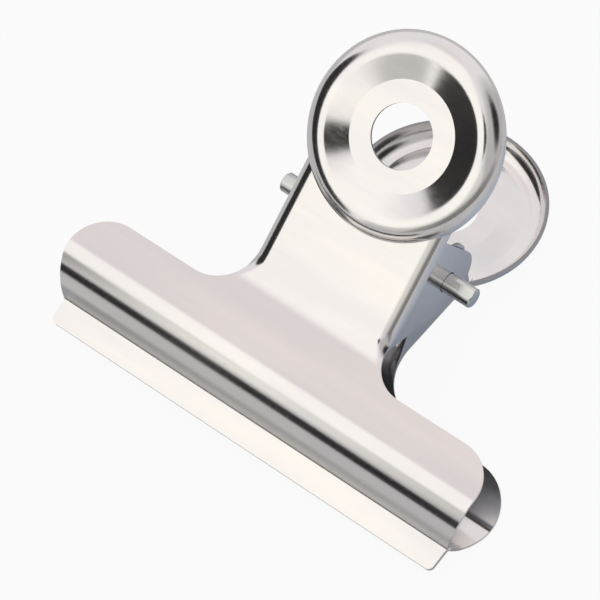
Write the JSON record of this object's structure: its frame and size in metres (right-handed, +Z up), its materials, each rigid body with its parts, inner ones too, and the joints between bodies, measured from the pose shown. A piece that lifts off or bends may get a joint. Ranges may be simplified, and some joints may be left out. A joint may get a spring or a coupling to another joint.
{
  "type": "bulldog clip",
  "caption": "Sprung steel bulldog clip with round dished handles, a wide half-tube jaw with flat lips and a hinge pin; pressing the handles opens the jaw to grip paper.",
  "frame": {"origin": "centre of the footprint, on the surface the clip lies on", "axes": "+X along the hinge pin and the jaw, +Y from the jaw's lips towards the handles, +Z up; the clip lies shut on its back half's jaw crest and handle rim"},
  "size_m": [0.075, 0.068, 0.0444],
  "materials": {
    "plated_sheet": "bright nickel plate over cold rolled steel sheet",
    "plated_pin": "bright nickel plate over drawn steel rod",
    "spring_wire": "drawn spring wire, dull"
  },
  "bodies": {
    "back": {"back_half": "plated_sheet", "hinge_pin": "plated_pin", "torsion_spring": "spring_wire"},
    "front": {"front_half": "plated_sheet"}
  },
  "joints": [
    {"name": "jaw_hinge", "type": "hinge", "parent": "back", "child": "front", "pos_m": [0, 0.00187, 0.01536], "axis": [-1, 0, 0], "range_deg": [0, 70], "stiffness_Nm_per_rad": 0.7, "springref_deg": -103.13, "deforming": ["torsion_spring"]}
  ]
}
